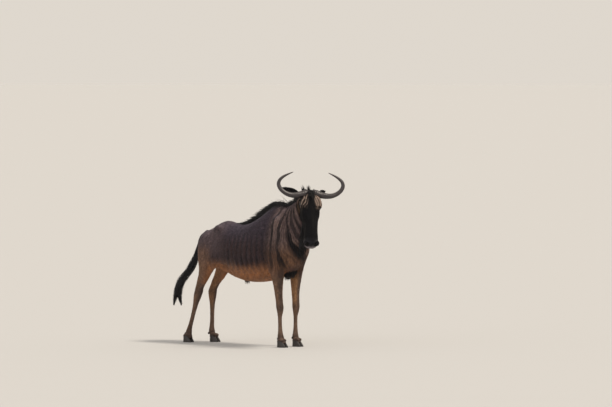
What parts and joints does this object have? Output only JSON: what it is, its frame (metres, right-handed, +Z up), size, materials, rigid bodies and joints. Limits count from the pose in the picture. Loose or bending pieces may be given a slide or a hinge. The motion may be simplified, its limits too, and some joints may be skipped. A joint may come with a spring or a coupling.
{
  "type": "wildebeest",
  "caption": "Life-size still model of an adult bull blue wildebeest, standing with its head turned to its right, with horns, mane, beard and tail tuft.",
  "frame": {"origin": "on the floor, under the middle of the bounding box", "axes": "+Z up, the animal faces -Y and its left side is +X"},
  "size_m": [0.657, 1.9894, 1.6825],
  "materials": {
    "body_coat": "short flat hair, slate brown with darker bands",
    "leg_coat": "short flat hair, tan brown",
    "face_coat": "very short hair, nearly black, with bare skin at the nose and lips",
    "long_hair": "long coarse black hair in locks",
    "horn": "grey brown horn, worn smooth",
    "hoof": "dark hoof horn",
    "eye": "wet dark brown eye"
  },
  "bodies": {
    "root": {"torso": "body_coat", "neck": "body_coat", "head": "face_coat", "ear_right": "face_coat", "ear_left": "face_coat", "eye_right": "eye", "eye_left": "eye", "horn_right": "horn", "horn_left": "horn", "leg_front_right": "leg_coat", "leg_front_left": "leg_coat", "leg_hind_right": "leg_coat", "leg_hind_left": "leg_coat", "tail": "long_hair", "hoof_front_right_inner": "hoof", "hoof_front_right_outer": "hoof", "hoof_front_left_inner": "hoof", "hoof_front_left_outer": "hoof", "hoof_hind_right_inner": "hoof", "hoof_hind_right_outer": "hoof", "hoof_hind_left_inner": "hoof", "hoof_hind_left_outer": "hoof"}
  },
  "joints": []
}
